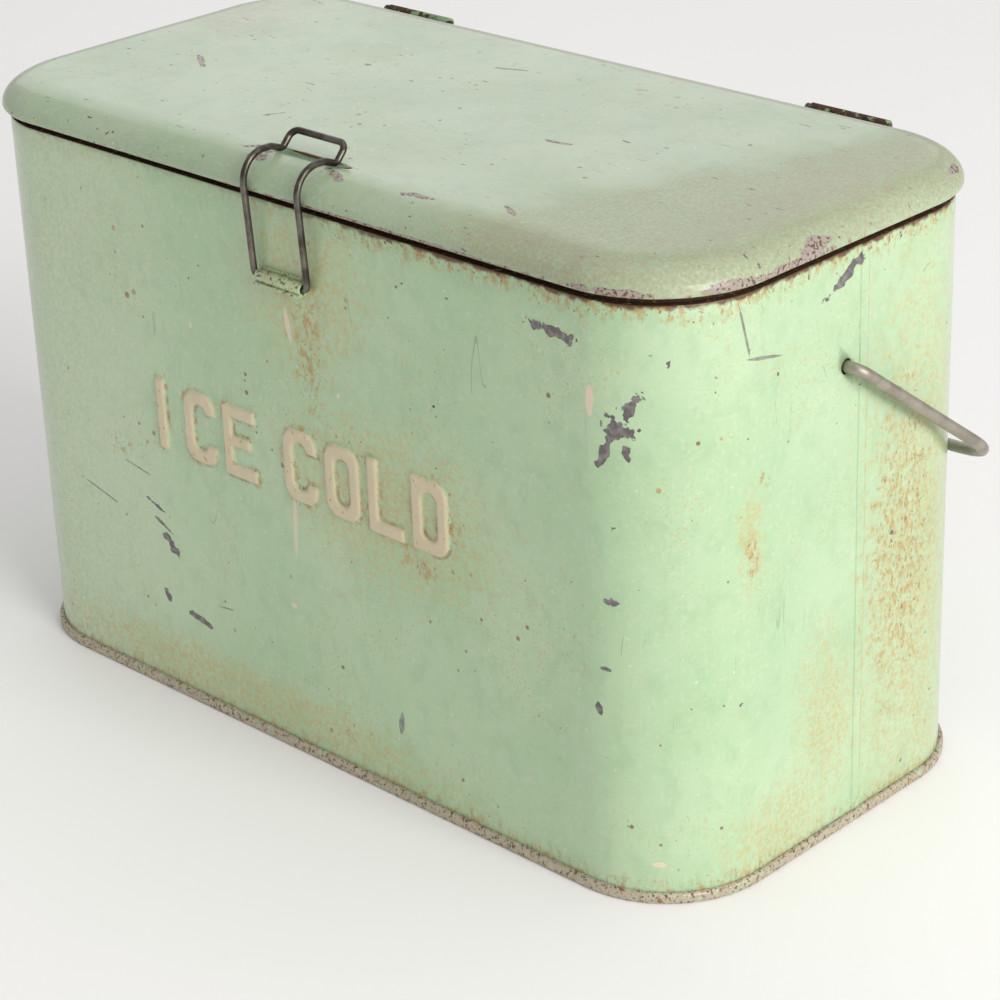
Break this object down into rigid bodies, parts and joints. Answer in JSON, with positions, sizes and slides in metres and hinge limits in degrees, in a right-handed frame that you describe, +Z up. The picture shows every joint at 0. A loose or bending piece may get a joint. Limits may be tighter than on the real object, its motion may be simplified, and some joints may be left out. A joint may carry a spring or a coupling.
{
  "type": "insulated picnic cooler chest",
  "caption": "Insulated sheet-steel cooler chest with a hinged pressed lid, a bent-wire latch over the lid's edge and a full-length carrying bail.",
  "frame": {"origin": "middle of the base, on the surface that the chest stands on", "axes": "+X runs to the right end, -Y is the front with the latch, +Z is up"},
  "size_m": [0.4784, 0.2357, 0.306],
  "materials": {
    "green_enamel": "worn gloss",
    "zinc_sheet": "dull",
    "galvanised_liner": "spangled",
    "rusted_steel": "rusty",
    "glass_fibre": "matte",
    "black_rubber": "matte",
    "dark_steel_wire": "dull",
    "grey_steel_rod": "dull",
    "spring_steel": "dull",
    "hinge_steel": "worn"
  },
  "bodies": {
    "case": {"body_shell": "green_enamel", "base_pan": "zinc_sheet", "liner": "galvanised_liner", "rim_collar": "rusted_steel", "wall_insulation": "glass_fibre", "floor_insulation": "glass_fibre", "latch_bracket": "green_enamel", "handle_socket_left": "zinc_sheet", "handle_socket_right": "zinc_sheet", "hinge_body_leaf_left": "hinge_steel", "hinge_body_leaf_right": "hinge_steel", "hinge_rivets": "hinge_steel", "hinge_pin_left": "dark_steel_wire", "hinge_pin_right": "dark_steel_wire"},
    "lid": {"lid_skin": "green_enamel", "lid_liner": "galvanised_liner", "lid_insulation": "glass_fibre", "lid_seal": "black_rubber", "hinge_lid_leaf_left": "hinge_steel", "hinge_lid_leaf_right": "hinge_steel"},
    "bail": {"handle_bail": "grey_steel_rod", "handle_clips": "spring_steel"},
    "latch": {"latch_wire": "dark_steel_wire"}
  },
  "joints": [
    {"name": "lid_hinge", "type": "hinge", "parent": "case", "child": "lid", "pos_m": [0, 0.1152, 0.29], "axis": [-1, 0, 0], "range_deg": [0, 100]},
    {"name": "bail_swing", "type": "hinge", "parent": "case", "child": "bail", "pos_m": [0, 0, 0.2266], "axis": [1, 0, 0], "range_deg": [0, 250]},
    {"name": "latch_swing", "type": "hinge", "parent": "case", "child": "latch", "pos_m": [0, -0.1135, 0.2437], "axis": [1, 0, 0], "range_deg": [0, 165]}
  ]
}
